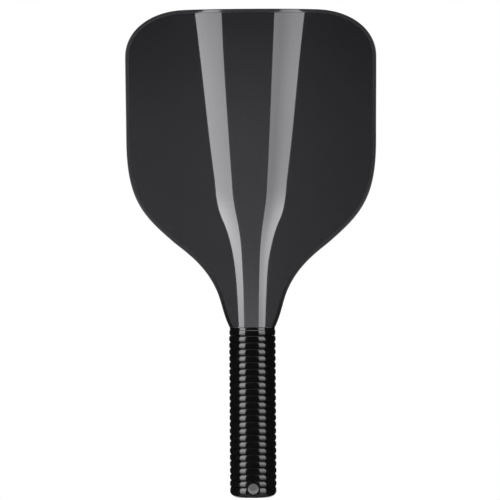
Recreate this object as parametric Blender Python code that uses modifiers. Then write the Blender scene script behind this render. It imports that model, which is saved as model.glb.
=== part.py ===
"""Pickleball paddle: sandwich blade, flush edge guard, ribbed handle with a lined cord hole.

The paddle stands on its butt: +Z runs up the handle, the front face looks along -Y.
Lengths are millimetres in the constants and metres in the scene.
"""

import math

import bpy
from mathutils import Vector

MM = 0.001
GAP = 0.3
# Points closer than this are one point, in metres
JOIN = 0.00001

# Blade outline, right half: places where its stretches meet, from the top down
BLADE_TOP = 394.5
BLADE_HALF_WIDTH = 101.5
CROWN_END = (54.0, 393.8)
CORNER_FOOT = 356.0
SIDE_FOOT = (101.0, 290.0)
FLANK = (63.0, 206.0)
THROAT = (25.8, 159.0)
NECK = (18.0, 136.4)
# Knots of the curve there: x, z, heading in degrees, handle in, handle out
OUTLINE_KNOTS = (
    (0.0, BLADE_TOP, 0.0, 18.0, 18.0),
    (*CROWN_END, -2.0, 18.0, 27.0),
    (BLADE_HALF_WIDTH, CORNER_FOOT, -90.0, 21.5, 20.0),
    (*SIDE_FOOT, -90.0, 20.0, 49.0),
    (*FLANK, -139.0, 34.0, 10.0),
    (*THROAT, -106.0, 28.0, 12.0),
    (*NECK, -116.0, 8.0, 0.0),
)
OUTLINE_STEPS = (2, 8, 2, 8, 8, 4)
# Lengths under this count as none
SLIGHT = 0.001

# Blade section, from the middle plane outwards
BLADE_HALF = 8.0
SHEET_THICK = 0.8
CORE_HALF = BLADE_HALF - SHEET_THICK - GAP
RIM_RADIUS = 3.2
RIM_STEPS = 4
GROOVE_INSET = 2.0
CORE_INSET = GROOVE_INSET + GAP
SHEET_INSET = RIM_RADIUS + GAP

# Honeycomb cells
CELL_PITCH = 11.0
CELL_WALL = 1.2
CELL_BORDER = 10.5

# Handle stack along Z
CAP_TOP = 8.1
RIB_PITCH = 5.32
RIB_COUNT = 23
SLEEVE_TOP = CAP_TOP + RIB_PITCH * RIB_COUNT
COLLAR_TOP = 136.7
COLLAR_PLATE = 1.2
NECK_BOTTOM = COLLAR_TOP + GAP
PLUG_TOP = 13.3
SPIGOT_TOP = 30.0
TONGUE_BOTTOM = SPIGOT_TOP + GAP

# Handle section: an ellipse, given by its half width
DEPTH_RATIO = 0.824
RIB_CREST = 19.05
RIB_VALLEY = 18.1
RIB_FLAT = 0.35 * RIB_PITCH
CAP_RADIUS = 18.95
CAP_ROUND_IN = 5.2
CAP_ROUND_UP = 4.9
CAP_ROUND_STEPS = 6
CAP_LIP = 0.85
# Shoulder of the collar: half width, depth under its top
COLLAR_SHOULDER = ((17.55, 0.0), (18.25, 0.4), (18.48, 1.75), (18.7, 2.0), (18.85, 3.5))
# Foot of the collar: half width, height over its bottom
COLLAR_FOOT = ((18.65, 0.7), (18.15, 0.0))
BORE = 16.0
HALF_BODY = 15.65
TONGUE_HALF = 10.5

# Cord hole through the butt
HOLE_Z = 7.3
HOLE_RADIUS = 4.25
BUSH_RADIUS = 5.0
FLANGE_RADIUS = 5.4
FLANGE_FACE = 15.7
FLANGE_THICK = 1.0
FLANGE_ROUND = 0.35
# How far the cutters reach from the middle plane, to clear the handle
CUT_REACH = 30.0

# Facet counts
ROUND_STEPS = 36
BUSH_STEPS = 28


def clear_scene():
    """Empties the scene."""
    for thing in list(bpy.data.objects):
        bpy.data.objects.remove(thing)


def new_collection(name):
    """A collection of its own under the scene."""
    made = bpy.data.collections.new(name)
    bpy.context.scene.collection.children.link(made)
    return made


def new_material(name, colour, roughness):
    """A plain plastic of one colour."""
    made = bpy.data.materials.new(name)
    made.use_nodes = True
    shader = made.node_tree.nodes["Principled BSDF"]
    shader.inputs["Base Color"].default_value = (*colour, 1.0)
    shader.inputs["Roughness"].default_value = roughness
    made.diffuse_color = (*colour, 1.0)
    return made


def keep(thing, collection, material=None):
    """Moves an object into its collection and gives it its material."""
    for holder in list(thing.users_collection):
        holder.objects.unlink(thing)
    collection.objects.link(thing)
    if material:
        thing.data.materials.clear()
        thing.data.materials.append(material)
    return thing


def as_mesh(thing):
    """Turns a curve into a mesh with its caps joined on and its faces turned out."""
    bpy.ops.object.select_all(action="DESELECT")
    bpy.context.view_layer.objects.active = thing
    thing.select_set(True)
    bpy.ops.object.convert(target="MESH")
    bpy.ops.object.mode_set(mode="EDIT")
    bpy.ops.mesh.select_all(action="SELECT")
    bpy.ops.mesh.remove_doubles(threshold=JOIN)
    bpy.ops.mesh.normals_make_consistent(inside=False)
    bpy.ops.object.mode_set(mode="OBJECT")
    return thing


def flat_curve(name, loops, thickness):
    """A filled outline with holes, in its own XY plane, as thick as given."""
    data = bpy.data.curves.new(name, "CURVE")
    data.dimensions = "2D"
    data.fill_mode = "BOTH"
    data.extrude = thickness / 2 * MM
    for loop in loops:
        spline = data.splines.new("POLY")
        spline.points.add(len(loop) - 1)
        for point, (x, y) in zip(spline.points, loop):
            point.co = (x * MM, y * MM, 0.0, 1.0)
        spline.use_cyclic_u = True
    thing = bpy.data.objects.new(name, data)
    bpy.context.scene.collection.objects.link(thing)
    return thing


def turned(name, profile, steps, closed):
    """A profile of radius and height points swept round Z, squeezed in depth afterwards."""
    mesh = bpy.data.meshes.new(name)
    count = len(profile)
    edges = [(i, i + 1) for i in range(count - 1)]
    if closed:
        edges.append((count - 1, 0))
    mesh.from_pydata([(r * MM, 0.0, z * MM) for r, z in profile], edges, [])
    thing = bpy.data.objects.new(name, mesh)
    bpy.context.scene.collection.objects.link(thing)
    screw = thing.modifiers.new("Screw", "SCREW")
    screw.steps = steps
    screw.render_steps = steps
    screw.use_merge_vertices = True
    screw.merge_threshold = JOIN
    screw.use_normal_calculate = True
    return as_mesh(thing)


def add_box(name, half_x, half_y, bottom, top):
    """A box centred on the handle's axis."""
    middle = (bottom + top) / 2 * MM
    bpy.ops.mesh.primitive_cube_add(size=1.0, location=(0.0, 0.0, middle))
    thing = bpy.context.object
    thing.name = name
    thing.scale = (2 * half_x * MM, 2 * half_y * MM, (top - bottom) * MM)
    return thing


def add_rod(name, radius, near, far):
    """A cylinder along Y on the axis of the cord hole."""
    bpy.ops.mesh.primitive_cylinder_add(
        vertices=BUSH_STEPS,
        radius=radius * MM,
        depth=(far - near) * MM,
        location=(0.0, (near + far) / 2 * MM, HOLE_Z * MM),
        rotation=(math.pi / 2, 0.0, 0.0),
    )
    thing = bpy.context.object
    thing.name = name
    return thing


def boolean(thing, tool, operation):
    """Adds a helper shape to a piece or takes it away."""
    modifier = thing.modifiers.new(tool.name, "BOOLEAN")
    modifier.operation = operation
    modifier.solver = "EXACT"
    modifier.object = tool


def half_outline():
    """Points and outward normals down the right side of the blade."""
    points = []
    normals = []
    for start, end, steps in zip(OUTLINE_KNOTS, OUTLINE_KNOTS[1:], OUTLINE_STEPS):
        head_a = math.radians(start[2])
        head_b = math.radians(end[2])
        knot_a = Vector(start[:2])
        knot_b = Vector(end[:2])
        handle_a = knot_a + Vector((math.cos(head_a), math.sin(head_a))) * start[4]
        handle_b = knot_b - Vector((math.cos(head_b), math.sin(head_b))) * end[3]
        for i in range(steps):
            t = i / steps
            s = 1.0 - t
            points.append(
                knot_a * s**3 + handle_a * 3 * s * s * t + handle_b * 3 * s * t * t + knot_b * t**3
            )
            heading = (handle_a - knot_a) * s * s
            heading += (handle_b - handle_a) * 2 * s * t
            heading += (knot_b - handle_b) * t * t
            heading.normalize()
            normals.append(Vector((-heading.y, heading.x)))
    last = OUTLINE_KNOTS[-1]
    points.append(Vector(last[:2]))
    heading = Vector((math.cos(math.radians(last[2])), math.sin(math.radians(last[2]))))
    normals.append(Vector((-heading.y, heading.x)))
    return points, normals


def inset_blade(inset):
    """The blade outline moved inwards, ending level at the neck."""
    points, normals = half_outline()
    side = [p - n * inset for p, n in zip(points, normals)]
    side = [p for p in side if p.y > NECK_BOTTOM + GAP]
    before, after = side[-2], side[-1]
    level = NECK_BOTTOM + GAP / 2
    slope = (after.x - before.x) / (after.y - before.y)
    side.append(Vector((after.x + slope * (level - after.y), level)))
    return side


def panel_outline(inset):
    """Blade outline with the narrow tongue that runs down inside the handle."""
    right = [(p.x, p.y) for p in inset_blade(inset)]
    right.append((TONGUE_HALF, right[-1][1]))
    right.append((TONGUE_HALF, TONGUE_BOTTOM))
    left = [(-x, z) for x, z in reversed(right) if x > SLIGHT]
    return right + left


def honeycomb_cells():
    """Hexagons that lie wholly inside the border of the core."""
    border = [(p.x, p.y) for p in inset_blade(CELL_BORDER)]
    radius = (CELL_PITCH - CELL_WALL) / math.sqrt(3)
    row_step = CELL_PITCH * math.sqrt(3) / 2
    cells = []
    rows = int((BLADE_TOP - COLLAR_TOP) / row_step)
    columns = int(BLADE_HALF_WIDTH / CELL_PITCH) + 1
    for row in range(rows):
        z = BLADE_TOP - CELL_BORDER - radius - row * row_step
        for column in range(-columns, columns + 1):
            x = (column + 0.5 * (row % 2)) * CELL_PITCH
            corners = []
            for i in range(6):
                turn = math.radians(60 * i + 30)
                corners.append((x + radius * math.cos(turn), z + radius * math.sin(turn)))
            if all(inside_border(corner, border) for corner in corners):
                cells.append(corners)
    return cells


def inside_border(point, border):
    """True when a point lies within the half width of a border at its height."""
    x, z = abs(point[0]), point[1]
    for upper, lower in zip(border, border[1:]):
        if lower[1] <= z <= upper[1]:
            t = (z - lower[1]) / max(upper[1] - lower[1], SLIGHT)
            return x <= lower[0] + t * (upper[0] - lower[0])
    return False


def stand_up(thing, depth):
    """Turns a flat piece upright and sets its middle at a depth."""
    thing.rotation_euler = (math.pi / 2, 0.0, 0.0)
    thing.location = (0.0, depth * MM, 0.0)
    return thing


def make_core():
    """Honeycomb sheet between the faces, with its tongue."""
    loops = [panel_outline(CORE_INSET)] + honeycomb_cells()
    return as_mesh(stand_up(flat_curve("honeycomb_core", loops, 2 * CORE_HALF), 0.0))


def make_sheet(name, side):
    """Striking face on one side of the core."""
    sheet = flat_curve(name, [panel_outline(SHEET_INSET)], SHEET_THICK)
    return as_mesh(stand_up(sheet, side * (BLADE_HALF - SHEET_THICK / 2)))


def guard_section():
    """Rounded outer edge with a shallow groove for the edge of the core."""
    centre = BLADE_HALF - RIM_RADIUS
    front = []
    for i in range(RIM_STEPS + 1):
        turn = math.pi / 2 * i / RIM_STEPS
        inset = RIM_RADIUS * (1 - math.sin(turn))
        front.append((inset, -centre - RIM_RADIUS * math.cos(turn)))
    rear = [(inset, -depth) for inset, depth in reversed(front)]
    lip = CORE_HALF + GAP
    groove = [(RIM_RADIUS, lip), (GROOVE_INSET, lip), (GROOVE_INSET, -lip), (RIM_RADIUS, -lip)]
    return front + rear + groove


def make_guard(cutters):
    """Edge moulding swept round the blade and trimmed level above the collar."""
    points, _ = half_outline()
    tail = points[-1] + (points[-1] - points[-2])
    right = [(p.x, p.y) for p in points] + [(tail.x, tail.y)]
    path = [(-x, z) for x, z in reversed(right) if x > SLIGHT] + right
    section = flat_curve("guard_section", [guard_section()], 0.0)
    section.data.fill_mode = "NONE"
    section.hide_render = True
    data = bpy.data.curves.new("edge_guard", "CURVE")
    data.dimensions = "2D"
    data.fill_mode = "NONE"
    data.bevel_mode = "OBJECT"
    data.bevel_object = section
    data.use_fill_caps = True
    spline = data.splines.new("POLY")
    spline.points.add(len(path) - 1)
    for point, (x, z) in zip(spline.points, path):
        point.co = (x * MM, z * MM, 0.0, 1.0)
    guard = bpy.data.objects.new("edge_guard", data)
    bpy.context.scene.collection.objects.link(guard)
    as_mesh(stand_up(guard, 0.0))
    bpy.data.objects.remove(section)
    trim = add_box("guard_trim", 2 * NECK[0], 2 * BLADE_HALF, SLEEVE_TOP, NECK_BOTTOM)
    keep(trim, cutters)
    boolean(guard, trim, "DIFFERENCE")
    return guard


def make_half(name, side):
    """Half of the handle body, channelled for the tongue and the cap's spigot."""
    depth = HALF_BODY * DEPTH_RATIO
    arc = []
    for i in range(ROUND_STEPS // 2 + 1):
        turn = math.pi * i / (ROUND_STEPS // 2)
        arc.append((HALF_BODY * math.cos(turn), side * max(depth * math.sin(turn), GAP / 2)))
    channel_x = TONGUE_HALF + GAP
    channel_y = side * (BLADE_HALF + GAP)
    split = side * GAP / 2
    loop = arc + [(-channel_x, split), (-channel_x, channel_y), (channel_x, channel_y), (channel_x, split)]
    bottom = PLUG_TOP + GAP
    top = COLLAR_TOP - COLLAR_PLATE - GAP
    half = flat_curve(name, [loop], top - bottom)
    half.location = (0.0, 0.0, (bottom + top) / 2 * MM)
    return as_mesh(half)


def make_sleeve(flange_cut):
    """Grip sleeve with a ring of raised ribs, notched round the cord hole."""
    bottom = CAP_TOP + GAP / 2
    top = SLEEVE_TOP - GAP / 2
    profile = [(BORE, top), (RIB_VALLEY, top)]
    for rib in reversed(range(RIB_COUNT)):
        middle = CAP_TOP + (rib + 0.5) * RIB_PITCH
        profile.append((RIB_CREST, middle + RIB_FLAT / 2))
        profile.append((RIB_CREST, middle - RIB_FLAT / 2))
        if rib:
            profile.append((RIB_VALLEY, CAP_TOP + rib * RIB_PITCH))
    profile += [(RIB_VALLEY, bottom), (BORE, bottom)]
    sleeve = turned("grip_sleeve", profile, ROUND_STEPS, True)
    sleeve.scale.y = DEPTH_RATIO
    boolean(sleeve, flange_cut, "DIFFERENCE")
    return sleeve


def make_collar(cutters):
    """Throat collar: a ring over the handle halves, with a slotted top plate."""
    bottom = SLEEVE_TOP + GAP / 2
    under = COLLAR_TOP - COLLAR_PLATE
    profile = [(0.0, COLLAR_TOP)]
    profile += [(half, COLLAR_TOP - depth) for half, depth in COLLAR_SHOULDER]
    profile += [(half, bottom + height) for half, height in COLLAR_FOOT]
    profile += [(BORE, bottom), (BORE, under), (0.0, under)]
    collar = turned("throat_collar", profile, ROUND_STEPS, False)
    collar.scale.y = DEPTH_RATIO
    past = COLLAR_PLATE
    slot = add_box("tongue_slot", TONGUE_HALF + GAP, BLADE_HALF + GAP, under - past, COLLAR_TOP + past)
    boolean(collar, keep(slot, cutters), "DIFFERENCE")
    return collar


def make_cap(cutters, flange_cut):
    """Butt cap: rounded skirt, plug inside the sleeve and a spigot between the handle halves."""
    flat = CAP_RADIUS - CAP_ROUND_IN
    top = CAP_TOP - GAP / 2
    fillet = []
    for i in range(CAP_ROUND_STEPS + 1):
        turn = math.pi / 2 * i / CAP_ROUND_STEPS
        fillet.append((flat + CAP_ROUND_IN * math.sin(turn), CAP_ROUND_UP * (1 - math.cos(turn))))
    fillet.reverse()
    profile = [(0.0, PLUG_TOP), (HALF_BODY, PLUG_TOP), (HALF_BODY, top)]
    profile += [(CAP_RADIUS - CAP_LIP, top), (CAP_RADIUS - CAP_LIP / 3, top - CAP_LIP)]
    profile += fillet + [(0.0, 0.0)]
    cap = turned("butt_cap", profile, ROUND_STEPS, False)
    cap.scale.y = DEPTH_RATIO
    spigot = keep(add_box("cap_spigot", TONGUE_HALF, BLADE_HALF, CAP_TOP, SPIGOT_TOP), cutters)
    bore = keep(add_rod("bush_bore", BUSH_RADIUS + GAP, -CUT_REACH, CUT_REACH), cutters)
    boolean(cap, spigot, "UNION")
    boolean(cap, bore, "DIFFERENCE")
    boolean(cap, flange_cut, "DIFFERENCE")
    return cap


def make_flange_cut(cutters):
    """Recesses at front and rear that take the flanges of the bushes."""
    seat = FLANGE_FACE - FLANGE_THICK - GAP
    cut = add_rod("flange_seat", FLANGE_RADIUS + GAP, -CUT_REACH, -seat)
    other = add_rod("flange_seat_rear", FLANGE_RADIUS + GAP, seat, CUT_REACH)
    bpy.ops.object.select_all(action="DESELECT")
    other.select_set(True)
    cut.select_set(True)
    bpy.context.view_layer.objects.active = cut
    bpy.ops.object.join()
    return keep(cut, cutters)


def make_sleeve_cut(cutters):
    """Clearance through both walls of the sleeve for the flanges."""
    return keep(add_rod("sleeve_notch", FLANGE_RADIUS + GAP, -CUT_REACH, CUT_REACH), cutters)


def make_bush(name, side):
    """Flanged half of the cord-hole lining, pushed in from one face."""
    face = FLANGE_FACE
    back = face - FLANGE_THICK
    profile = [
        (HOLE_RADIUS + FLANGE_ROUND, face),
        (FLANGE_RADIUS - FLANGE_ROUND, face),
        (FLANGE_RADIUS, face - FLANGE_ROUND),
        (FLANGE_RADIUS, back),
        (BUSH_RADIUS, back),
        (BUSH_RADIUS, GAP / 2),
        (HOLE_RADIUS, GAP / 2),
        (HOLE_RADIUS, face - FLANGE_ROUND),
    ]
    bush = turned(name, profile, BUSH_STEPS, True)
    bush.rotation_euler = (-side * math.pi / 2, 0.0, 0.0)
    bush.location = (0.0, 0.0, HOLE_Z * MM)
    return bush


clear_scene()
paddle = new_collection("pickleball_paddle")
cutters = new_collection("cutters")
cutters.hide_render = True

core_plastic = new_material("core_plastic", (0.55, 0.57, 0.58), 0.5)
face_gloss = new_material("face_gloss", (0.022, 0.022, 0.024), 0.12)
guard_plastic = new_material("guard_plastic", (0.018, 0.018, 0.020), 0.35)
handle_plastic = new_material("handle_plastic", (0.10, 0.10, 0.11), 0.6)
grip_gloss = new_material("grip_gloss", (0.006, 0.006, 0.007), 0.2)
cap_plastic = new_material("cap_plastic", (0.006, 0.006, 0.007), 0.25)
bush_plastic = new_material("bush_plastic", (0.010, 0.010, 0.011), 0.3)

flange_cut = make_flange_cut(cutters)
sleeve_cut = make_sleeve_cut(cutters)
keep(make_core(), paddle, core_plastic)
keep(make_sheet("front_face_sheet", -1), paddle, face_gloss)
keep(make_sheet("rear_face_sheet", 1), paddle, face_gloss)
keep(make_guard(cutters), paddle, guard_plastic)
keep(make_half("handle_half_front", -1), paddle, handle_plastic)
keep(make_half("handle_half_rear", 1), paddle, handle_plastic)
keep(make_sleeve(sleeve_cut), paddle, grip_gloss)
keep(make_collar(cutters), paddle, cap_plastic)
keep(make_cap(cutters, flange_cut), paddle, cap_plastic)
keep(make_bush("cord_bush_front", -1), paddle, bush_plastic)
keep(make_bush("cord_bush_rear", 1), paddle, bush_plastic)

for cutter in cutters.objects:
    cutter.hide_render = True
    cutter.display_type = "WIRE"
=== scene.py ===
"""Pickleball paddle: gloss charcoal blade, rounded edge guard and black ring-ribbed handle.

Sizes of the paddle and places on its face are millimetres. Those of the studio round it are metres.
"""

import math

import bpy
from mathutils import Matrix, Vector


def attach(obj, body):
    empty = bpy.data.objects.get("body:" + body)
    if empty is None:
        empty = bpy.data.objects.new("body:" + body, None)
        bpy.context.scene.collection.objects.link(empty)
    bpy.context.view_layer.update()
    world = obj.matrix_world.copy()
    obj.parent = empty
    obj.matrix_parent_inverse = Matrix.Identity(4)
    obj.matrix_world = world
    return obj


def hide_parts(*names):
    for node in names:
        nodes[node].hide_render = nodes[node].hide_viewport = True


MM = 0.001
# Points closer than this are one point, in metres, for pieces and for the profiles they are turned from
JOIN = 0.000001
PROFILE_JOIN = 0.000002
WHITE = (1.0, 1.0, 1.0)

# Blade outline, right half: places where its stretches meet, from the top down
BLADE_TOP = 394.5
BLADE_HALF_WIDTH = 101.5
CROWN_END = (54.0, 393.8)
CORNER_FOOT = 356.0
SIDE_FOOT = (101.0, 290.0)
FLANK = (63.0, 206.0)
THROAT = (25.8, 159.0)
NECK = (18.0, 136.4)
# Knots of the curve there: x, z, heading in degrees, handle in, handle out
OUTLINE_KNOTS = (
    (0.0, BLADE_TOP, 0.0, 18.0, 18.0),
    (*CROWN_END, -2.0, 18.0, 27.0),
    (BLADE_HALF_WIDTH, CORNER_FOOT, -90.0, 21.5, 20.0),
    (*SIDE_FOOT, -90.0, 20.0, 49.0),
    (*FLANK, -139.0, 34.0, 10.0),
    (*THROAT, -106.0, 28.0, 12.0),
    (*NECK, -116.0, 8.0, 0.0),
)
CURVE_STEPS = 20

# Blade section
BLADE_HALF = 8.0
SHEET_THICK = 0.8
SHEET_BEVEL = 0.08
SHEET_BEVEL_STEPS = 2
RIM_RADIUS = 3.2
RIM_STEPS = 10
GUARD_LIP = 0.06
SEAM = 0.06
GROOVE_INSET = 2.0
GROOVE_HALF = 7.2
NECK_BOTTOM = 137.0
# How far the guard is swept on below the neck before it is cut level
GUARD_TAIL = 5.0
TONGUE_HALF = 10.5
TONGUE_BOTTOM = 30.3
# Faces that look this straight to front or rear are the flats of a sheet
FLAT_FACING = 0.999
# Faces smaller than this are specks, in square metres
SPECK_AREA = 1e-12

# Handle stack along Z, its oval section given by half widths
DEPTH_RATIO = 0.824
CAP_TOP = 8.1
RIB_PITCH = 5.32
RIB_COUNT = 23
RIB_CREST = 19.05
RIB_VALLEY = 18.1
RIB_POINTS = 12
# Powers that make the rings plump: one flattens the crest, the other fills out the flanks
RIB_FLATNESS = 2.4
RIB_FULLNESS = 0.75
SLEEVE_EDGE = 0.1
SLEEVE_TOP = CAP_TOP + RIB_PITCH * RIB_COUNT
COLLAR_TOP = 136.95
COLLAR_PLATE = 1.45
COLLAR_DISH = 0.45
# Barrel of the collar: half width, height over its foot
COLLAR_BARREL = (
    (18.05, 0.0),
    (18.27, 0.06),
    (18.45, 0.3),
    (18.62, 0.8),
    (18.75, 1.4),
    (18.83, 2.2),
    (18.85, 3.0),
)
# Step and lip over the barrel: half width, depth under the top
COLLAR_LIP = (
    (18.79, 2.75),
    (18.67, 2.23),
    (18.42, 1.95),
    (18.39, 0.9),
    (18.35, 0.12),
    (18.25, 0.0),
)
# How far the slot's cutter runs past the collar's plate
SLOT_PAST = 2.0
BORE = 16.0
PLUG = 15.65
PLUG_TOP = 13.3
SPIGOT_ROOT = 1.0
SPIGOT_TOP = 30.0
CAP_RADIUS = 18.95
CAP_ROUND_IN = 5.2
CAP_ROUND_UP = 4.9
CAP_ROUND_STEPS = 16
CAP_LIP = 0.9
CAP_LIP_STEPS = 10
CAP_LIP_FULLNESS = 0.75
HALF_GAP = 0.15
OVAL_STEPS = 128

# Cord hole through the butt
HOLE_Z = 7.3
HOLE_RADIUS = 4.25
# How far the hole's cutters reach from the middle plane, to clear the handle
HOLE_REACH = 30.0
BUSH_RADIUS = 5.0
FLANGE_RADIUS = 5.4
FLANGE_FACE = 15.7
FLANGE_THICK = 1.0
FLANGE_ROUND = 0.35
FLANGE_STEPS = 6
BUSH_STEPS = 72
BUSH_SMOOTH = 40.0
CLEARANCE = 0.3

# Tones of the finishes, the darkest first
FACE_TONES = ((0.0105, 0.0105, 0.012), (0.013, 0.013, 0.0148))
EDGE_TONES = ((0.024, 0.024, 0.0262), (0.029, 0.029, 0.0316))
# Painted shade on the guard's rounding down in the throat
THROAT_SHADE_TONE = (0.002, 0.002, 0.002)
HANDLE_TONE = (0.003, 0.003, 0.003)
BUSH_TONE = (0.008, 0.008, 0.0085)
CORE_TONES = ((0.5, 0.52, 0.53), (0.6, 0.62, 0.63))
FOAM_TONES = ((0.08, 0.08, 0.09), (0.12, 0.12, 0.13))
# How much lighter the lightest tone of a black is
BLACK_LIFT = 1.4
# Where most values of a noise lie
NOISE_RANGE = (0.3, 0.7)
# The outer edge of the guard turns from charcoal to painted shade in plain black between these heights
THROAT_SHADE_SPAN = (210.0, 146.0)
# How far its rounding has to lean away from front or rear for that
THROAT_LEAN = 0.34
EDGE_COAT = 0.9

# Camera: distance, aim, roll, sensor, farthest sight and width of the view at the aim
CAMERA_BACK = 2.2
CAMERA_AIM = (-0.0015, 0.19958)
CAMERA_ROLL = 0.34
CAMERA_SENSOR = 36.0
CAMERA_FAR = 50.0
VIEW_WIDTH = 0.4048

# Light strips mirrored in the face: height, then how far from the middle their edges lie there,
# left outer, left inner, right inner and right outer
STRIP_SHAPE = (
    (400.0, 45.8, 23.7, 19.8, 44.6),
    (352.0, 40.3, 21.8, 17.5, 39.1),
    (288.0, 33.5, 18.0, 14.6, 32.5),
    (256.0, 29.6, 15.9, 12.9, 28.6),
    (243.0, 28.4, 15.0, 12.0, 27.3),
    (230.0, 25.7, 12.9, 10.4, 24.9),
    (217.0, 20.5, 10.4, 8.4, 19.6),
    (204.0, 16.8, 8.8, 7.1, 15.9),
    (188.0, 14.0, 7.9, 6.3, 13.0),
    (168.0, 12.2, 7.1, 5.7, 11.6),
    (124.0, 10.2, 6.3, 5.0, 9.8),
)
# Their brightness in the same order
STRIP_GLOW = (
    (400.0, 7.0, 5.0, 3.9, 5.6),
    (340.0, 8.1, 6.2, 4.1, 6.4),
    (250.0, 8.5, 7.0, 3.9, 6.8),
    (229.0, 12.2, 7.7, 4.4, 10.2),
    (190.0, 9.7, 9.8, 6.8, 8.8),
    (124.0, 7.2, 6.4, 5.2, 6.2),
)
# Uneven shade across the right strip: share of its width, factor on the brightness
RIGHT_SHADE = ((0.0, 1.1), (0.27, 0.92), (0.65, 1.06), (1.0, 1.02))
# Soft glow between the strips: height, brightness
MIDDLE_GLOW = ((400.0, 0.0), (300.0, 0.24), (191.0, 0.46), (124.0, 1.25))
STRIP_STEP = 6.0
STRIP_DEPTH = 2.35
STRIP_TINT = (1.0, 1.0, 1.03)
# Below the face the strips run on and fade out at this height
STRIP_FADE = -300.0

# The strips carry on overhead, for the top of the edge guard: angle above level, factor on the brightness
OVERHEAD = ((110.0, 0.5), (85.0, 0.9), (60.0, 1.2), (32.0, 1.2))
OVERHEAD_REACH = 4.0
OVERHEAD_SPREAD = 0.34
OVERHEAD_WIDTH = 0.8
OVERHEAD_SHIFT = 2.0

# Dim backing behind the strips: height with brightness
BACKING_LEVELS = (
    (410.0, 0.0),
    (353.0, 0.19),
    (300.0, 0.38),
    (120.0, 0.6),
    (-600.0, 0.6),
    (-2400.0, 0.3),
)
# Place across it with share of that brightness
BACKING_SHARES = (
    (-260.0, 0.0),
    (-115.0, 1.12),
    (-45.0, 0.9),
    (45.0, 0.7),
    (115.0, 0.6),
    (260.0, 0.0),
)
BACKING_DEPTH = STRIP_DEPTH + 0.01

# Dim wings that carry the backing on round both sides: side, brightness at each place from front to rear
WINGS = (
    ("wing_left", -1, (0.2, 0.22, 0.3, 0.4, 0.4)),
    ("wing_right", 1, (0.18, 0.2, 0.32, 0.4, 0.4)),
)
# Those places seen from above: distance out, depth
WING_PLACES = ((0.24, -2.36), (2.6, -2.0), (2.6, 0.9), (1.9, 2.3), (0.0, 2.8))
# Height of each row of a wing with share of the brightness
WING_ROWS = ((2.6, 0.9), (0.7, 1.0), (0.0, 1.0), (-1.0, 2.4), (-2.2, 1.3), (-5.5, 0.6))

# Tall light panels beside the handle: side, nearest and farthest bearing, level, share of it by row
PANELS = (
    ("panel_left", -1, 30.6, 57.4, 4.07, (0.1, 0.5, 1.0, 0.9, 0.3)),
    ("panel_right", 1, 26.8, 55.0, 2.98, (0.0, 0.3, 1.0, 0.9, 0.3)),
)
# Narrow bands behind the handle, in the same order
REAR_BANDS = (
    ("band_left", -1, 158.0, 171.0, 1.3, (0.6, 1.0, 1.0, 1.0, 0.4)),
    ("band_right", 1, 158.0, 171.0, 1.1, (0.6, 1.0, 1.0, 1.0, 0.4)),
)
PANEL_REACH = 1.35
# Height and outward lean of the panels' rows
PANEL_ROWS = ((-1.1, 5.0), (-0.3, 2.0), (0.15, 0.0), (0.6, 0.0), (1.6, 0.0))

# Bar above the handle: depth and height of its two edges, half length, brightness
TOP_BAR = ((-0.42, 1.2), (-0.3, 1.25))
TOP_BAR_HALF = 0.35
TOP_BAR_GLOW = 2.5

# Low bounce card before and under the butt: depth of its two edges, height, half length, brightness
BOUNCE_REACH = (-0.075, 0.0)
BOUNCE_HEIGHT = -0.05
BOUNCE_HALF = 0.06
BOUNCE_GLOW = 0.22

# World: plain fill, white for the camera, and the dim studio that reflections see
WORLD_FILL = 0.17
WORLD_WHITE = 1.0
STUDIO_GREY = 0.8
# Its brightness in front and straight behind, and the shares of the way there over which it changes
STUDIO_LEVELS = (0.021, 0.45)
STUDIO_REAR = (0.9, 0.99)

# Floor disc: it runs out to white over these distances from the middle, all round and to each side
FLOOR_RADIUS = 0.25
FLOOR_CORNERS = 96
FLOOR_DROP = 0.0002
FLOOR_GREY = 0.8
FLOOR_FADE = (0.12, 0.2)
FLOOR_SIDE_FADE = (0.011, 0.016)

# Plain lamps: place, aim, side length, power
FRONT_KEY = ((-0.6, -1.6, 1.1), (0.0, 0.0, 0.2), 0.8, 30.0)
REAR_FILL = ((0.8, 1.6, 1.0), (0.0, 0.0, 0.2), 0.8, 24.0)
FLOOR_LAMP = ((CAMERA_AIM[0], -CAMERA_BACK, 0.9), (0.0, 0.0, 0.0), 0.05, 195.0)


def pick(thing):
    """Makes one object the only picked and active one."""
    bpy.ops.object.select_all(action="DESELECT")
    bpy.context.view_layer.objects.active = thing
    thing.select_set(True)


def start_piece(name):
    """Names a fresh primitive and opens it for editing with everything picked."""
    piece = bpy.context.object
    piece.name = name
    piece.data.name = name
    bpy.ops.object.mode_set(mode="EDIT")
    bpy.ops.mesh.select_all(action="SELECT")
    return piece


def close_piece(piece, smooth_under=30.0):
    """Joins doubles, turns faces out and smooths all edges blunter than an angle."""
    bpy.ops.mesh.select_all(action="SELECT")
    bpy.ops.mesh.remove_doubles(threshold=JOIN)
    bpy.ops.mesh.normals_make_consistent(inside=False)
    bpy.ops.object.mode_set(mode="OBJECT")
    pick(piece)
    bpy.ops.object.shade_smooth_by_angle(angle=math.radians(smooth_under))
    return piece


def use(piece, node, material):
    """Stands a piece in for its CAD node and gives it its finish."""
    piece.data.materials.clear()
    piece.data.materials.append(material)
    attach(piece, "root")
    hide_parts(node)


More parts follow.
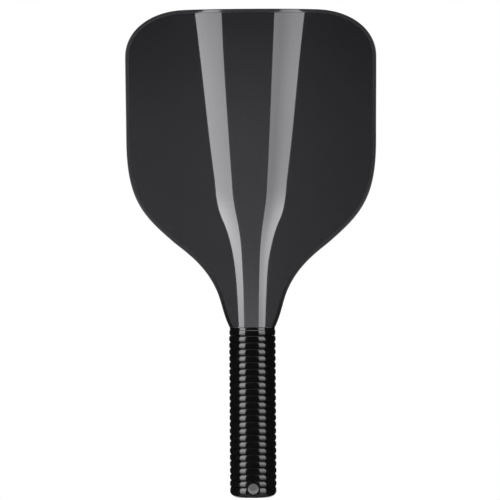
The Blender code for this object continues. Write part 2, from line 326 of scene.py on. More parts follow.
def turned_piece(name, profile, steps, axis, centre, closed=True):
    """Draws a profile point by point from one corner and spins it round an axis."""
    bpy.ops.object.select_all(action="DESELECT")
    bpy.ops.mesh.primitive_plane_add(size=MM)
    piece = start_piece(name)
    bpy.ops.mesh.merge(type="CENTER")
    points = [Vector(p) * MM for p in profile]
    bpy.ops.transform.translate(value=points[0])
    if closed:
        points.append(points[0])
    for here, there in zip(points, points[1:]):
        bpy.ops.mesh.extrude_region_move(TRANSFORM_OT_translate={"value": there - here})
    bpy.ops.mesh.select_all(action="SELECT")
    bpy.ops.mesh.remove_doubles(threshold=PROFILE_JOIN)
    bpy.ops.mesh.select_all(action="SELECT")
    bpy.ops.mesh.spin(steps=steps, angle=2 * math.pi, center=Vector(centre) * MM, axis=axis)
    return piece


def oval_piece(name, profile, closed=True):
    """A piece turned about the handle and squeezed to the handle's oval."""
    points = [(half, 0.0, z) for half, z in profile]
    piece = turned_piece(name, points, OVAL_STEPS, (0, 0, 1), (0, 0, 0), closed)
    bpy.ops.mesh.select_all(action="SELECT")
    bpy.ops.transform.resize(value=(1.0, DEPTH_RATIO, 1.0), center_override=(0.0, 0.0, 0.0))
    return piece


def cut(piece, tool, operation="DIFFERENCE"):
    """Applies a Boolean with a helper shape and takes the helper away."""
    pick(piece)
    modifier = piece.modifiers.new("cut", "BOOLEAN")
    modifier.operation = operation
    modifier.solver = "EXACT"
    modifier.object = tool
    bpy.ops.object.modifier_apply(modifier=modifier.name)
    bpy.data.objects.remove(tool)


def rod_tool(radius, near=-HOLE_REACH, far=HOLE_REACH):
    """Cylinder along the cord hole."""
    bpy.ops.object.select_all(action="DESELECT")
    bpy.ops.mesh.primitive_cylinder_add(
        vertices=BUSH_STEPS,
        radius=radius * MM,
        depth=(far - near) * MM,
        location=(0.0, (near + far) / 2 * MM, HOLE_Z * MM),
        rotation=(math.pi / 2, 0.0, 0.0),
    )
    return bpy.context.object


def block_tool(half_x, half_y, bottom, top):
    """Box centred on the handle."""
    bpy.ops.object.select_all(action="DESELECT")
    bpy.ops.mesh.primitive_cube_add(size=1.0, location=(0.0, 0.0, (bottom + top) / 2 * MM))
    tool = bpy.context.object
    tool.scale = (2 * half_x * MM, 2 * half_y * MM, (top - bottom) * MM)
    return tool


def corner(x, z):
    """A plain knot of the outline, with no curve into or out of it."""
    return Vector((x, z, 0.0)), Vector((0.0, 0.0, 0.0)), 0.0, 0.0


def outline_knot(side, x, z, heading, before, after):
    """A knot of the blade's outline on one side: place, course, handle before, handle after."""
    turn = math.radians(heading)
    place = Vector((side * x, z, 0.0))
    course = Vector((math.cos(turn), side * math.sin(turn), 0.0))
    if side > 0:
        return place, course, before, after
    return place, course, after, before


def blade_curve(name, lead, trail):
    """Bezier outline of the blade from throat to throat, with straight corners before and after."""
    bpy.ops.object.select_all(action="DESELECT")
    bpy.ops.curve.primitive_bezier_curve_add()
    curve = bpy.context.object
    curve.name = name
    curve.data.dimensions = "2D"
    curve.data.fill_mode = "NONE"
    curve.data.resolution_u = CURVE_STEPS
    knots = [corner(x, z) for x, z in lead]
    knots += [outline_knot(-1, *knot) for knot in reversed(OUTLINE_KNOTS[1:])]
    knots += [outline_knot(1, *knot) for knot in OUTLINE_KNOTS]
    knots += [corner(x, z) for x, z in trail]
    spline = curve.data.splines[0]
    spline.bezier_points.add(len(knots) - len(spline.bezier_points))
    for point, (place, course, before, after) in zip(spline.bezier_points, knots):
        point.handle_left_type = "FREE" if before else "VECTOR"
        point.handle_right_type = "FREE" if after else "VECTOR"
        point.co = place * MM
        point.handle_left = (place - course * before) * MM
        point.handle_right = (place + course * after) * MM
    return curve


def stand_up(curve, depth):
    """Makes a flat curve a mesh, upright, with its place in the mesh."""
    pick(curve)
    bpy.ops.object.convert(target="MESH")
    curve.rotation_euler = (math.pi / 2, 0.0, 0.0)
    curve.location = (0.0, depth * MM, 0.0)
    bpy.ops.object.transform_apply(location=True, rotation=True, scale=True)


def throat_tail(z):
    """The throat's edge carried straight on, down to a height."""
    x, end, heading = OUTLINE_KNOTS[-1][:3]
    return Vector((x + (z - end) / math.tan(math.radians(heading)), z))


def refill_flats(sheet):
    """Joins the flat of a sheet into one face on each side and splits it into even triangles."""
    bpy.ops.mesh.remove_doubles(threshold=JOIN)
    bpy.ops.mesh.select_all(action="DESELECT")
    bpy.ops.object.mode_set(mode="OBJECT")
    for face in sheet.data.polygons:
        face.select = abs(face.normal.y) > FLAT_FACING or face.area < SPECK_AREA
    bpy.ops.object.mode_set(mode="EDIT")
    bpy.ops.mesh.dissolve_faces()
    bpy.ops.mesh.quads_convert_to_tris(ngon_method="BEAUTY")


def make_face(name, side):
    """Striking face: a thin sheet with softened edges and a tongue into the handle."""
    inset = RIM_RADIUS + SEAM
    wide = TONGUE_HALF + inset
    low = TONGUE_BOTTOM - inset
    neck = NECK_BOTTOM - inset
    tail = throat_tail(neck).x
    tongue = ((tail, neck), (wide, neck), (wide, low), (-wide, low), (-wide, neck), (-tail, neck))
    sheet = blade_curve(name, (), tongue)
    sheet.data.splines[0].use_cyclic_u = True
    sheet.data.fill_mode = "BOTH"
    sheet.data.bevel_depth = SHEET_BEVEL * MM
    sheet.data.bevel_resolution = SHEET_BEVEL_STEPS
    sheet.data.extrude = (SHEET_THICK / 2 - SHEET_BEVEL) * MM
    sheet.data.offset = -(inset + SHEET_BEVEL) * MM
    stand_up(sheet, side * (BLADE_HALF - SHEET_THICK / 2))
    start_piece(name)
    refill_flats(sheet)
    return close_piece(sheet, smooth_under=12.0)


def guard_profile():
    """Section of the edge guard, inset and depth: rounded nose, soft lips and the groove for the core."""
    centre = BLADE_HALF - RIM_RADIUS
    front = [(RIM_RADIUS, -BLADE_HALF + GUARD_LIP), (RIM_RADIUS - GUARD_LIP, -BLADE_HALF)]
    for i in range(1, RIM_STEPS + 1):
        turn = math.pi / 2 * i / RIM_STEPS
        front.append((RIM_RADIUS * (1 - math.sin(turn)), -centre - RIM_RADIUS * math.cos(turn)))
    rear = [(inset, -depth) for inset, depth in reversed(front)]
    groove = [
        (RIM_RADIUS, GROOVE_HALF),
        (GROOVE_INSET, GROOVE_HALF),
        (GROOVE_INSET, -GROOVE_HALF),
        (RIM_RADIUS, -GROOVE_HALF),
    ]
    return front + rear + groove


def guard_section():
    """Closed curve of the edge guard's section, for the sweep."""
    bpy.ops.object.select_all(action="DESELECT")
    bpy.ops.curve.primitive_bezier_curve_add()
    section = bpy.context.object
    section.data.dimensions = "2D"
    section.data.fill_mode = "NONE"
    section.data.splines.clear()
    spline = section.data.splines.new("POLY")
    profile = guard_profile()
    spline.points.add(len(profile) - 1)
    for point, (inset, depth) in zip(spline.points, profile):
        point.co = (inset * MM, depth * MM, 0.0, 1.0)
    spline.use_cyclic_u = True
    return section


def make_guard():
    """Edge guard swept round the blade and cut level above the collar."""
    section = guard_section()
    tail = throat_tail(NECK_BOTTOM - GUARD_TAIL)
    guard = blade_curve("edge_guard_moulding", ((-tail.x, tail.y),), (tail,))
    guard.data.bevel_mode = "OBJECT"
    guard.data.bevel_object = section
    guard.data.use_fill_caps = True
    stand_up(guard, 0.0)
    bpy.data.objects.remove(section)
    start_piece("edge_guard_moulding")
    bpy.ops.mesh.remove_doubles(threshold=JOIN)
    bpy.ops.mesh.select_all(action="SELECT")
    bpy.ops.mesh.bisect(
        plane_co=(0.0, 0.0, NECK_BOTTOM * MM),
        plane_no=(0.0, 0.0, 1.0),
        use_fill=True,
        clear_inner=True,
        threshold=JOIN,
    )
    return close_piece(guard, smooth_under=25.0)


def make_sleeve():
    """Grip sleeve: plump raised rings on a tube, notched round the cord hole."""
    bottom = CAP_TOP + SEAM
    top = SLEEVE_TOP - SEAM
    profile = [(BORE, bottom), (RIB_VALLEY - SLEEVE_EDGE, bottom)]
    for rib in range(RIB_COUNT):
        middle = CAP_TOP + (rib + 0.5) * RIB_PITCH
        for i in range(RIB_POINTS):
            t = math.sin(math.pi * (i / RIB_POINTS - 0.5))
            height = (RIB_CREST - RIB_VALLEY) * (1.0 - abs(t) ** RIB_FLATNESS) ** RIB_FULLNESS
            z = min(max(middle + t * RIB_PITCH / 2, bottom + SLEEVE_EDGE), top - SLEEVE_EDGE)
            profile.append((RIB_VALLEY + height, z))
    profile += [(RIB_VALLEY, top - SLEEVE_EDGE), (RIB_VALLEY - SLEEVE_EDGE, top), (BORE, top)]
    sleeve = oval_piece("ribbed_grip", profile)
    close_piece(sleeve)
    cut(sleeve, rod_tool(FLANGE_RADIUS + CLEARANCE / 2))
    start_piece("ribbed_grip")
    return close_piece(sleeve, smooth_under=50.0)


def make_collar():
    """Throat collar: a barrel ring whose top plate is slotted for the tongue."""
    bottom = SLEEVE_TOP + SEAM
    under = COLLAR_TOP - COLLAR_PLATE
    profile = [(0.0, under), (BORE, under), (BORE, bottom)]
    profile += [(half, bottom + height) for half, height in COLLAR_BARREL]
    profile += [(half, COLLAR_TOP - depth) for half, depth in COLLAR_LIP]
    profile.append((0.0, COLLAR_TOP - COLLAR_DISH))
    collar = oval_piece("collar_ring", profile, closed=False)
    close_piece(collar)
    slot_x = TONGUE_HALF + CLEARANCE
    slot_y = BLADE_HALF + CLEARANCE
    cut(collar, block_tool(slot_x, slot_y, under - SLOT_PAST, COLLAR_TOP + SLOT_PAST))
    start_piece("collar_ring")
    return close_piece(collar, smooth_under=22.0)


def make_cap():
    """Butt cap: rounded skirt, plug up inside the sleeve, spigot and the cross hole."""
    top = CAP_TOP - SEAM
    profile = [(0.0, 0.0)]
    for i in range(CAP_ROUND_STEPS + 1):
        turn = math.pi / 2 * i / CAP_ROUND_STEPS
        reach = CAP_RADIUS - CAP_ROUND_IN * (1 - math.sin(turn))
        profile.append((reach, CAP_ROUND_UP * (1 - math.cos(turn))))
    for i in range(1, CAP_LIP_STEPS + 1):
        turn = math.pi / 2 * i / CAP_LIP_STEPS
        reach = CAP_RADIUS - CAP_LIP * (1 - math.cos(turn) ** CAP_LIP_FULLNESS)
        profile.append((reach, CAP_ROUND_UP + (top - CAP_ROUND_UP) * math.sin(turn)))
    profile += [(PLUG, top), (PLUG, PLUG_TOP), (0.0, PLUG_TOP)]
    cap = oval_piece("butt_end", profile, closed=False)
    close_piece(cap)
    cut(cap, block_tool(TONGUE_HALF, BLADE_HALF, PLUG_TOP - SPIGOT_ROOT, SPIGOT_TOP), "UNION")
    cut(cap, rod_tool(BUSH_RADIUS + CLEARANCE))
    seat = FLANGE_FACE - FLANGE_THICK - CLEARANCE
    cut(cap, rod_tool(FLANGE_RADIUS + CLEARANCE / 2, far=-seat))
    cut(cap, rod_tool(FLANGE_RADIUS + CLEARANCE / 2, near=seat))
    start_piece("butt_end")
    return close_piece(cap, smooth_under=35.0)


def make_bush(name):
    """Front half of the cord-hole lining, with a rounded flange and a softened mouth."""
    face = -FLANGE_FACE
    back = face + FLANGE_THICK
    profile = [(HOLE_RADIUS, -HALF_GAP), (HOLE_RADIUS, face + FLANGE_ROUND)]
    for i in range(1, FLANGE_STEPS + 1):
        turn = math.pi / 2 * i / FLANGE_STEPS
        radius = HOLE_RADIUS + FLANGE_ROUND * (1 - math.cos(turn))
        profile.append((radius, face + FLANGE_ROUND * (1 - math.sin(turn))))
    for i in range(FLANGE_STEPS + 1):
        turn = math.pi / 2 * i / FLANGE_STEPS
        radius = FLANGE_RADIUS - FLANGE_ROUND * (1 - math.sin(turn))
        profile.append((radius, face + FLANGE_ROUND * (1 - math.cos(turn))))
    profile += [(FLANGE_RADIUS, back), (BUSH_RADIUS, back), (BUSH_RADIUS, -HALF_GAP)]
    points = [(radius, y, HOLE_Z) for radius, y in profile]
    bush = turned_piece(name, points, BUSH_STEPS, (0, 1, 0), (0.0, 0.0, HOLE_Z))
    return close_piece(bush, smooth_under=BUSH_SMOOTH)


def rear_bush_from(front, name):
    """A copy of the front bush with its own mesh, mirrored to the rear."""
    pick(front)
    bpy.ops.object.duplicate()
    rear = start_piece(name)
    bpy.ops.transform.resize(value=(1.0, -1.0, 1.0), center_override=(0.0, 0.0, 0.0))
    return close_piece(rear, smooth_under=BUSH_SMOOTH)


class Finish:
    """A node material that reads Object coordinates."""

    def __init__(self, name):
        """Starts from a plain shader."""
        self.material = bpy.data.materials.new(name)
        self.material.use_nodes = True
        self.tree = self.material.node_tree
        self.shader = self.tree.nodes["Principled BSDF"]
        self.coordinates = self.tree.nodes.new("ShaderNodeTexCoord")
        self.place = self.coordinates.outputs["Object"]

    def link(self, source, target):
        """Joins two sockets."""
        self.tree.links.new(source, target)

    def paint(self, name, source):
        """Drives an input of the shader."""
        self.link(source, self.shader.inputs[name])

    def set(self, **values):
        """Sets inputs of the shader to plain values."""
        for name, value in values.items():
            self.shader.inputs[name.replace("_", " ")].default_value = value

    def noise(self, scale, detail=4.0, roughness=0.55):
        """Even noise through the piece."""
        node = self.tree.nodes.new("ShaderNodeTexNoise")
        node.inputs["Scale"].default_value = scale
        node.inputs["Detail"].default_value = detail
        node.inputs["Roughness"].default_value = roughness
        self.link(self.place, node.inputs["Vector"])
        return node.outputs["Fac"]

    def tones(self, value, stops):
        """Colours a value by stops, each a value and the tone there."""
        ramp = self.tree.nodes.new("ShaderNodeValToRGB")
        elements = ramp.color_ramp.elements
        while len(elements) < len(stops):
            elements.new(0.5)
        for element, (position, tone) in zip(elements, stops):
            element.position = position
            element.color = (*tone, 1.0)
        self.link(value, ramp.inputs["Fac"])
        return ramp.outputs["Color"]

    def remap(self, value, before, after):
        """Maps one span of values onto another."""
        node = self.tree.nodes.new("ShaderNodeMapRange")
        node.inputs["From Min"].default_value = before[0]
        node.inputs["From Max"].default_value = before[1]
        node.inputs["To Min"].default_value = after[0]
        node.inputs["To Max"].default_value = after[1]
        self.link(value, node.inputs["Value"])
        return node.outputs["Result"]

    def uneven(self, scale, low, high):
        """A value that wanders between two limits."""
        return self.remap(self.noise(scale), NOISE_RANGE, (low, high))

    def climb(self, bottom, top):
        """None below one height and one above another."""
        split = self.tree.nodes.new("ShaderNodeSeparateXYZ")
        self.link(self.place, split.inputs["Vector"])
        return self.remap(split.outputs["Z"], (bottom * MM, top * MM), (0.0, 1.0))

    def lean(self, most):
        """One where the surface faces straight to front or rear, none where it leans as far as given."""
        sideways = self.tree.nodes.new("ShaderNodeVectorMath")
        sideways.operation = "MULTIPLY"
        sideways.inputs[1].default_value = (1.0, 0.0, 1.0)
        self.link(self.coordinates.outputs["Normal"], sideways.inputs[0])
        length = self.tree.nodes.new("ShaderNodeVectorMath")
        length.operation = "LENGTH"
        self.link(sideways.outputs["Vector"], length.inputs[0])
        return self.remap(length.outputs["Value"], (0.0, most), (1.0, 0.0))

    def combine(self, operation, one, other):
        """Puts a value together with another, or with a plain number."""
        node = self.tree.nodes.new("ShaderNodeMath")
        node.operation = operation
        for socket, value in zip(node.inputs, (one, other)):
            if isinstance(value, float):
                socket.default_value = value
            else:
                self.link(value, socket)
        return node.outputs["Value"]

    def bump(self, height, strength, distance):
        """Fine relief from a height, as deep as a distance in metres."""
        node = self.tree.nodes.new("ShaderNodeBump")
        node.inputs["Strength"].default_value = strength
        node.inputs["Distance"].default_value = distance
        self.link(height, node.inputs["Height"])
        return node.outputs["Normal"]


def face_finish():
    """Charcoal composite under a clear gloss coat."""
    finish = Finish("charcoal_gloss")
    dark, light = FACE_TONES
    grain = finish.noise(scale=900.0, detail=3.0, roughness=0.6)
    finish.paint("Base Color", finish.tones(grain, ((0.3, dark), (0.7, light))))
    finish.paint("Roughness", finish.uneven(scale=60.0, low=0.13, high=0.17))
    finish.set(Coat_Weight=1.0, Coat_Roughness=0.008, Coat_IOR=1.5, Specular_IOR_Level=0.06)
    return finish.material


def guard_finish():
    """Satin moulding of the edge, with a fine tool grain; its rounding down in the throat has painted
    shade in plain black and less coat.
    """
    finish = Finish("satin_edge")
    dark, light = EDGE_TONES
    unshaded_from, shaded_below = THROAT_SHADE_SPAN
    # Share left unshaded; the rest of the rounding in the throat gets painted shade in plain black
    unshaded_share = finish.combine("MAXIMUM", finish.climb(shaded_below, unshaded_from), finish.lean(THROAT_LEAN))
    grain = finish.combine("MULTIPLY", finish.noise(scale=400.0), unshaded_share)
    finish.paint("Base Color", finish.tones(grain, ((0.0, THROAT_SHADE_TONE), (0.35, dark), (0.65, light))))
    finish.paint("Roughness", finish.uneven(scale=150.0, low=0.34, high=0.46))
    relief = finish.noise(scale=2600.0, detail=2.0)
    finish.paint("Normal", finish.bump(relief, strength=0.15, distance=0.00004))
    finish.paint("Coat Weight", finish.combine("MULTIPLY", unshaded_share, EDGE_COAT))
    finish.set(Specular_IOR_Level=0.2, Coat_Roughness=0.03)
    return finish.material


def black_finish(name, tone, low, high, relief, coat=0.8):
    """Glossy black moulding with uneven polish, its roughness between two limits."""
    finish = Finish(name)
    light = tuple(BLACK_LIFT * c for c in tone)
    finish.paint("Base Color", finish.tones(finish.noise(scale=300.0), ((0.35, tone), (0.65, light))))
    finish.paint("Roughness", finish.uneven(120.0, low, high))
    grain = finish.noise(scale=1800.0, detail=2.0)
    finish.paint("Normal", finish.bump(grain, strength=relief, distance=0.00003))
    finish.set(Specular_IOR_Level=0.5, Coat_Weight=coat, Coat_Roughness=0.06)
    return finish.material


def core_finish():
    """Milky polypropylene of the honeycomb."""
    finish = Finish("milky_core")
    dark, light = CORE_TONES
    finish.paint("Base Color", finish.tones(finish.noise(scale=220.0), ((0.3, dark), (0.7, light))))
    finish.paint("Roughness", finish.uneven(scale=90.0, low=0.42, high=0.58))
    return finish.material


def foam_finish():
    """Dull rigid foam of the handle body."""
    finish = Finish("handle_foam")
    dark, light = FOAM_TONES
    finish.paint("Base Color", finish.tones(finish.noise(scale=500.0), ((0.3, dark), (0.7, light))))
    finish.paint("Roughness", finish.uneven(scale=800.0, low=0.6, high=0.8))
    finish.paint("Normal", finish.bump(finish.noise(scale=1500.0), strength=0.3, distance=0.0001))
    return finish.material


def set_camera():
    """Camera square on to the face, at the photograph's distance and slight roll."""
    bpy.ops.object.camera_add(location=(CAMERA_AIM[0], -CAMERA_BACK, CAMERA_AIM[1]))
    camera = bpy.context.object
    camera.rotation_euler = (math.pi / 2, math.radians(CAMERA_ROLL), 0.0)
    camera.data.sensor_width = CAMERA_SENSOR
    camera.data.lens = CAMERA_SENSOR * CAMERA_BACK / VIEW_WIDTH
    camera.data.clip_end = CAMERA_FAR
    bpy.context.scene.camera = camera


def glow_material(name, tint):
    """Clear emitter whose strength is set on a card's corners."""
    made = bpy.data.materials.new(name)
    made.use_nodes = True
    tree = made.node_tree
    tree.nodes.clear()
    glow = tree.nodes.new("ShaderNodeEmission")
    glow.inputs["Color"].default_value = (*tint, 1.0)
    level = tree.nodes.new("ShaderNodeAttribute")
    level.attribute_name = "glow"
    tree.links.new(level.outputs["Fac"], glow.inputs["Strength"])
    clear = tree.nodes.new("ShaderNodeBsdfTransparent")
    both = tree.nodes.new("ShaderNodeAddShader")
    tree.links.new(glow.outputs["Emission"], both.inputs[0])
    tree.links.new(clear.outputs["BSDF"], both.inputs[1])
    out = tree.nodes.new("ShaderNodeOutputMaterial")
    tree.links.new(both.outputs["Shader"], out.inputs["Surface"])
    return made


def sheet_faces(rows, columns):
    """Faces of a sheet of corners laid out in rows."""
    faces = []
    for i in range(rows - 1):
        for k in range(columns - 1):
            first = i * columns + k
            faces.append((first, first + 1, first + 1 + columns, first + columns))
    return faces


def card(name, rows, tint, lit):
    """Light card, given as rows of places with brightness, seen only in the pieces it lights."""
    corners = [place for row in rows for place, _ in row]
    glows = [glow for row in rows for _, glow in row]
    mesh = bpy.data.meshes.new(name)
    mesh.from_pydata(corners, [], sheet_faces(len(rows), len(rows[0])))
    level = mesh.attributes.new("glow", "FLOAT", "POINT")
    for point, glow in zip(level.data, glows):
        point.value = glow
    mesh.materials.append(glow_material(name, tint))
    thing = bpy.data.objects.new(name, mesh)
    bpy.context.scene.collection.objects.link(thing)
    thing.visible_camera = False
    thing.visible_diffuse = False
    thing.visible_shadow = False
    thing.light_linking.receiver_collection = lit


def at_height(stations, z):
    """Values of a table of stations at one height, eased between them."""
    for upper, lower in zip(stations, stations[1:]):
        if z >= lower[0]:
            break
    i = stations.index(upper)
    before = stations[max(i - 1, 0)]
    after = stations[min(i + 2, len(stations) - 1)]
    span = lower[0] - upper[0]
    t = (z - upper[0]) / span
    values = []
    for k in range(1, len(upper)):
        leave = (lower[k] - before[k]) / (lower[0] - before[0]) * span
        arrive = (after[k] - upper[k]) / (after[0] - upper[0]) * span
        rise = lower[k] - upper[k]
        bend = (3 * rise - 2 * leave - arrive) * t * t + (leave + arrive - 2 * rise) * t * t * t
        values.append(upper[k] + leave * t + bend)
    return values


def mirrored_place(x, z, side, depth=STRIP_DEPTH):
    """Where the camera's view of a spot on a face, mirrored there, meets a card in front or behind."""
    face = BLADE_HALF * MM
    reach = (depth - face) / (CAMERA_BACK - face)
    return (
        x * MM + (x * MM - CAMERA_AIM[0]) * reach,
        side * depth,
        z * MM + (z * MM - CAMERA_AIM[1]) * reach,
    )


def overhead_place(x, angle):
    """The same strip carried on over the blade at an angle above level."""
    turn = math.radians(angle)
    spread = OVERHEAD_SPREAD * math.sin(turn) * (x * MM)
    return (
        x * MM + OVERHEAD_REACH * ((x * MM - CAMERA_AIM[0]) / CAMERA_BACK + spread),
        -OVERHEAD_REACH * math.cos(turn),
        BLADE_TOP * MM + OVERHEAD_REACH * math.sin(turn),
    )


def overhead_rows(columns):
    """Rows of a strip's overhead run, narrowed and shifted, from the columns at its top."""
    centre = (columns[0][0] + columns[-1][0]) / 2
    rows = []
    for angle, factor in OVERHEAD:
        row = []
        for x, glow in columns:
            narrowed = centre + (x - centre) * OVERHEAD_WIDTH + OVERHEAD_SHIFT
            row.append((overhead_place(narrowed, angle), glow * factor))
        rows.append(row)
    return rows


def strip_columns(z):
    """Columns of the two strips and of the glow between them at one height: x, brightness."""
    left_out, left_in, right_in, right_out = at_height(STRIP_SHAPE, z)
    left_outer, left_inner, right_inner, right_outer = at_height(STRIP_GLOW, z)
    middle = at_height(MIDDLE_GLOW, z)[0]
    right = []
    for share, shade in RIGHT_SHADE:
        glow = right_inner + (right_outer - right_inner) * share
        right.append((right_in + (right_out - right_in) * share, glow * shade))
    return {
        "strip_left": [(-left_out, left_outer), (-left_in, left_inner)],
        "strip_middle": [(-left_in, middle), (right_in, middle)],
        "strip_right": right,
    }


def set_strips(lit, side):
    """Two tapering strip lights that a face mirrors, and a soft glow between them."""
    top = STRIP_SHAPE[0][0]
    low = STRIP_SHAPE[-1][0]
    count = int((top - low) / STRIP_STEP) + 1
    for name, columns in strip_columns(top).items():
        rows = overhead_rows(columns) if side < 0 else []
        for i in range(count):
            z = top - STRIP_STEP * i
            columns = strip_columns(z)[name]
            rows.append([(mirrored_place(x, z, side), glow) for x, glow in columns])
        rows.append([(mirrored_place(x, STRIP_FADE, side), 0.0) for x, _ in columns])
        card(name, rows, STRIP_TINT, lit)


def set_backing(lit, side):
    """Broad dim card behind the strips, brighter low down and to the left."""
    rows = []
    for z, level in BACKING_LEVELS:
        row = []
        for x, share in BACKING_SHARES:
            row.append((mirrored_place(x, z, side, BACKING_DEPTH), level * share))
        rows.append(row)
    card("backing", rows, STRIP_TINT, lit)


def set_wings(lit):
    """Dim cards that carry the backing on round both sides."""
    for name, side, levels in WINGS:
        rows = []
        for z, share in WING_ROWS:
            row = []
            for (x, y), level in zip(WING_PLACES, levels):
                row.append(((side * x, y, z), level * share))
            rows.append(row)
        card(name, rows, STRIP_TINT, lit)


def set_panels(lit):
    """Tall panels left and right of the camera that the rings mirror, and bands behind."""
    for name, side, near, far, level, shares in PANELS + REAR_BANDS:
        rows = []
        for (z, lean), share in zip(PANEL_ROWS, shares):
            row = []
            for bearing in (near, far):
                turn = math.radians(bearing + lean)
                place = (side * PANEL_REACH * math.sin(turn), -PANEL_REACH * math.cos(turn), z)
                row.append((place, level * share))
            rows.append(row)
        card(name, rows, WHITE, lit)


def set_top_bar(lit):
    """Low bar high in front of the handle that draws a hair line on each ring."""
    ends = (-TOP_BAR_HALF, TOP_BAR_HALF)
    rows = [[((x, y, z), TOP_BAR_GLOW) for x in ends] for y, z in TOP_BAR]
    card("top_bar", rows, WHITE, lit)


def set_butt_bounce(lit):
    """Low card in front of the butt, for the pale floor that its rounding mirrors."""
    ends = (-BOUNCE_HALF, BOUNCE_HALF)
    rows = [[((x, y, BOUNCE_HEIGHT), BOUNCE_GLOW) for x in ends] for y in BOUNCE_REACH]
    card("butt_bounce", rows, WHITE, lit)


def group(name, pieces):
    """Collection of pieces that share their light cards."""
    made = bpy.data.collections.new(name)
    for piece in pieces:
        made.objects.link(bpy.data.objects[piece])
    return made


def ease(tree, value, before, after=(0.0, 1.0)):
    """Maps one span of values onto another with a soft start and end."""
    node = tree.nodes.new("ShaderNodeMapRange")
    node.interpolation_type = "SMOOTHSTEP"
    node.inputs["From Min"].default_value = before[0]
    node.inputs["From Max"].default_value = before[1]
    node.inputs["To Min"].default_value = after[0]
    node.inputs["To Max"].default_value = after[1]
    tree.links.new(value, node.inputs["Value"])
    return node.outputs["Result"]


def blend(tree, share, first, second):
    """Mixes two shaders by a share of the second."""
    node = tree.nodes.new("ShaderNodeMixShader")
    tree.links.new(share, node.inputs["Fac"])
    tree.links.new(first, node.inputs[1])
    tree.links.new(second, node.inputs[2])
    return node.outputs["Shader"]


def backdrop(tree, grey, strength):
    """Plain background of one grey."""
    node = tree.nodes.new("ShaderNodeBackground")
    node.inputs["Color"].default_value = (grey, grey, grey, 1.0)
    node.inputs["Strength"].default_value = strength
    return node


def set_world():
    """White to the camera, a dim studio in reflections, plain fill for the rest."""
    world = bpy.context.scene.world or bpy.data.worlds.new("studio")
    bpy.context.scene.world = world
    world.use_nodes = True
    tree = world.node_tree
    tree.nodes.clear()
    out = tree.nodes.new("ShaderNodeOutputWorld")
    path = tree.nodes.new("ShaderNodeLightPath")
    fill = backdrop(tree, 1.0, WORLD_FILL)
    white = backdrop(tree, 1.0, WORLD_WHITE)
    studio = backdrop(tree, STUDIO_GREY, STUDIO_LEVELS[0])
    bearing = tree.nodes.new("ShaderNodeTexCoord")
    split = tree.nodes.new("ShaderNodeSeparateXYZ")
    tree.links.new(bearing.outputs["Generated"], split.inputs["Vector"])
    level = ease(tree, split.outputs["Y"], STUDIO_REAR, STUDIO_LEVELS)
    tree.links.new(level, studio.inputs["Strength"])
    plain = fill.outputs["Background"]
    unseen = blend(tree, path.outputs["Is Glossy Ray"], plain, studio.outputs["Background"])
    seen = blend(tree, path.outputs["Is Camera Ray"], unseen, white.outputs["Background"])
    tree.links.new(seen, out.inputs["Surface"])


def floor_paint():
    """Pale paint that runs out to white and is clear from below."""
    made = bpy.data.materials.new("pale_floor")
    made.use_nodes = True
    tree = made.node_tree
    tree.nodes.clear()
    out = tree.nodes.new("ShaderNodeOutputMaterial")
    paint = tree.nodes.new("ShaderNodeBsdfDiffuse")
    paint.inputs["Color"].default_value = (FLOOR_GREY, FLOOR_GREY, FLOOR_GREY, 1.0)
    white = tree.nodes.new("ShaderNodeEmission")
    clear = tree.nodes.new("ShaderNodeBsdfTransparent")
    place = tree.nodes.new("ShaderNodeTexCoord")
    reach = tree.nodes.new("ShaderNodeVectorMath")
    reach.operation = "LENGTH"
    tree.links.new(place.outputs["Object"], reach.inputs[0])
    split = tree.nodes.new("ShaderNodeSeparateXYZ")
    tree.links.new(place.outputs["Object"], split.inputs["Vector"])
    across = tree.nodes.new("ShaderNodeMath")
    across.operation = "ABSOLUTE"
    tree.links.new(split.outputs["X"], across.inputs[0])
    either = tree.nodes.new("ShaderNodeMath")
    either.operation = "MAXIMUM"
    tree.links.new(ease(tree, reach.outputs["Value"], FLOOR_FADE), either.inputs[0])
    tree.links.new(ease(tree, across.outputs["Value"], FLOOR_SIDE_FADE), either.inputs[1])
    runout = blend(tree, either.outputs["Value"], paint.outputs["BSDF"], white.outputs["Emission"])
    side = tree.nodes.new("ShaderNodeNewGeometry")
    both = blend(tree, side.outputs["Backfacing"], runout, clear.outputs["BSDF"])
    tree.links.new(both, out.inputs["Surface"])
    return made


def set_floor():
    """Floor disc just under the butt."""
    bpy.ops.mesh.primitive_circle_add(vertices=FLOOR_CORNERS, radius=FLOOR_RADIUS, fill_type="NGON")
    floor = bpy.context.object
    floor.name = "floor"
    floor.location = (0.0, 0.0, -FLOOR_DROP)
    floor.visible_glossy = False
    floor.data.materials.append(floor_paint())
    return floor


def softbox(name, place, aim, size, power, lit):
    """Square lamp that faces a point, is not mirrored and lights one collection."""
    bpy.ops.object.light_add(type="AREA", location=place)
    lamp = bpy.context.object
    lamp.name = name
    lamp.data.shape = "RECTANGLE"
    lamp.data.size = size
    lamp.data.size_y = size
    lamp.data.energy = power
    lamp.rotation_mode = "QUATERNION"
    lamp.rotation_quaternion = (Vector(aim) - Vector(place)).to_track_quat("-Z", "Y")
    lamp.visible_camera = False
    lamp.visible_glossy = False
    lamp.light_linking.receiver_collection = lit


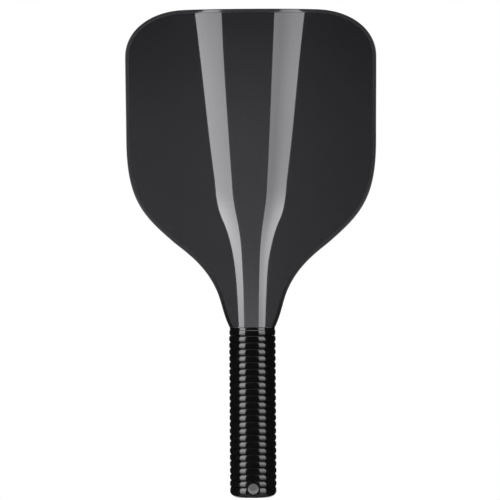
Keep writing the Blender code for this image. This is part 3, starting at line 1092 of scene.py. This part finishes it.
def set_lamps(floor):
    """Two lamps for the object that pass the floor by, and one over the camera for the floor alone."""
    all_but_floor = bpy.data.collections.new("all_but_floor")
    all_but_floor.objects.link(floor)
    all_but_floor.collection_objects[0].light_linking.link_state = "EXCLUDE"
    floor_only = bpy.data.collections.new("floor_only")
    floor_only.objects.link(floor)
    softbox("front_key", *FRONT_KEY, all_but_floor)
    softbox("rear_fill", *REAR_FILL, all_but_floor)
    softbox("floor_lamp", *FLOOR_LAMP, floor_only)


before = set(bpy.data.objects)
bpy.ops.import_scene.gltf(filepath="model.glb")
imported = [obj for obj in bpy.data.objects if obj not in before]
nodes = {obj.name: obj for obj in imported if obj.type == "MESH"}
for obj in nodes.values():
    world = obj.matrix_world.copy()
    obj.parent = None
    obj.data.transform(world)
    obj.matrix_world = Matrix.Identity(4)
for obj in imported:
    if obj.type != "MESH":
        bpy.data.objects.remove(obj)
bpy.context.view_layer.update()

face_gloss = face_finish()
edge_satin = guard_finish()
grip_black = black_finish("grip_black", HANDLE_TONE, low=0.1, high=0.16, relief=0.08)
trim_black = black_finish("trim_black", HANDLE_TONE, low=0.08, high=0.14, relief=0.05)
bush_black = black_finish("bush_black", BUSH_TONE, low=0.25, high=0.35, relief=0.06, coat=0.6)

use(make_face("face_front", -1), "front_face_sheet", face_gloss)
use(make_face("face_rear", 1), "rear_face_sheet", face_gloss)
use(make_guard(), "edge_guard", edge_satin)
use(make_sleeve(), "grip_sleeve", grip_black)
use(make_collar(), "throat_collar", trim_black)
use(make_cap(), "butt_cap", trim_black)
front_bush = make_bush("cord_hole_front")
rear_bush = rear_bush_from(front_bush, "cord_hole_rear")
use(front_bush, "cord_bush_front", bush_black)
use(rear_bush, "cord_bush_rear", bush_black)

milky_core = core_finish()
handle_foam = foam_finish()
for name, material in (
    ("honeycomb_core", milky_core),
    ("handle_half_front", handle_foam),
    ("handle_half_rear", handle_foam),
):
    nodes[name].data.materials.clear()
    nodes[name].data.materials.append(material)

blade_lit = group("blade_lit", ("face_front", "face_rear", "edge_guard_moulding"))
handle_lit = group("handle_lit", ("ribbed_grip", "collar_ring", "butt_end"))
butt_lit = group("butt_lit", ("butt_end",))
set_camera()
for side in (-1, 1):
    set_strips(blade_lit, side)
    set_backing(blade_lit, side)
set_wings(blade_lit)
set_panels(handle_lit)
set_top_bar(handle_lit)
set_butt_bounce(butt_lit)
set_world()
set_lamps(set_floor())
bpy.context.scene.view_settings.view_transform = "Standard"
